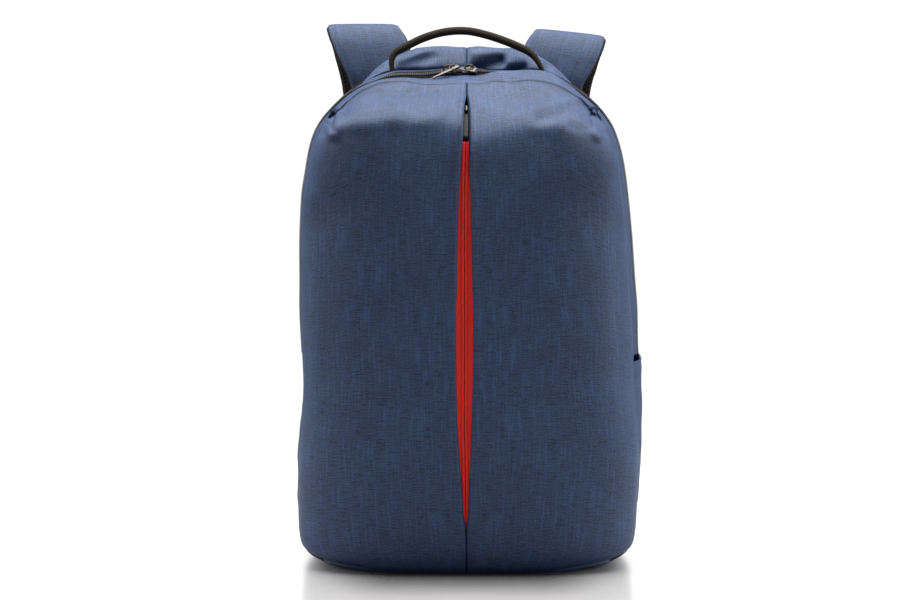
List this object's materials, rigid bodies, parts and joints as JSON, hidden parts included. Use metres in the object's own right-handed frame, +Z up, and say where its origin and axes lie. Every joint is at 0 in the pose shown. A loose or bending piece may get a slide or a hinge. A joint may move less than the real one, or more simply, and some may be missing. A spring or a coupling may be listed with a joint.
{
  "type": "backpack",
  "caption": "Soft day backpack standing on its base, with a hollow zipped compartment, a slit front over a red zip, a carry handle and padded shoulder straps folded back.",
  "frame": {"origin": "middle of the flat base, on the floor", "axes": "+Z up along the bag, -Y out of the front with the red zip, +Y out of the padded back, +X to the right as the front is seen"},
  "size_m": [0.3119, 0.1984, 0.4839],
  "materials": {
    "navy_cloth": "woven two-tone polyester, matte",
    "black_mesh": "padded spacer mesh",
    "black_webbing": "ribbed webbing and zip tape",
    "red_zip": "reverse coil zip tape, satin",
    "zip_metal": "gunmetal plated, satin",
    "pull_tab": "plain grey, satin",
    "black_plastic": "moulded, matte"
  },
  "bodies": {
    "bag": {"front_panel_left": "navy_cloth", "front_panel_right": "navy_cloth", "gusset_front": "navy_cloth", "gusset_rear": "navy_cloth", "main_zip_tape": "black_webbing", "side_panel_left": "navy_cloth", "side_panel_right": "navy_cloth", "side_pocket_left": "navy_cloth", "side_pocket_right": "navy_cloth", "base_panel": "navy_cloth", "back_panel": "black_mesh", "front_zip_tape_left": "red_zip", "front_zip_tape_right": "red_zip", "front_zip_slider": "zip_metal", "main_zip_slider_left": "zip_metal", "main_zip_slider_right": "zip_metal", "yoke_left": "navy_cloth", "yoke_right": "navy_cloth", "carry_handle": "black_webbing", "strap_shell_left": "navy_cloth", "strap_shell_right": "navy_cloth", "strap_lining_left": "black_mesh", "strap_lining_right": "black_mesh", "strap_adjuster_left": "black_plastic", "strap_adjuster_right": "black_plastic", "strap_webbing_left": "black_webbing", "strap_webbing_right": "black_webbing"},
    "front_pull": {"front_zip_pull": "pull_tab"},
    "main_pull_left": {"main_zip_pull_left": "zip_metal"},
    "main_pull_right": {"main_zip_pull_right": "zip_metal"}
  },
  "joints": [
    {"name": "front_pull_hinge", "type": "hinge", "parent": "bag", "child": "front_pull", "pos_m": [0, -0.03601, 0.40924], "axis": [-1, 0, 0], "range_deg": [0, 110]},
    {"name": "main_pull_left_hinge", "type": "hinge", "parent": "bag", "child": "main_pull_left", "pos_m": [-0.01713, 0.01472, 0.44535], "axis": [-0.5446, 0.8239, 0.1569], "range_deg": [0, 110]},
    {"name": "main_pull_right_hinge", "type": "hinge", "parent": "bag", "child": "main_pull_right", "pos_m": [0.00312, 0.01494, 0.44573], "axis": [0.5592, 0.8142, 0.1559], "range_deg": [0, 110]}
  ]
}
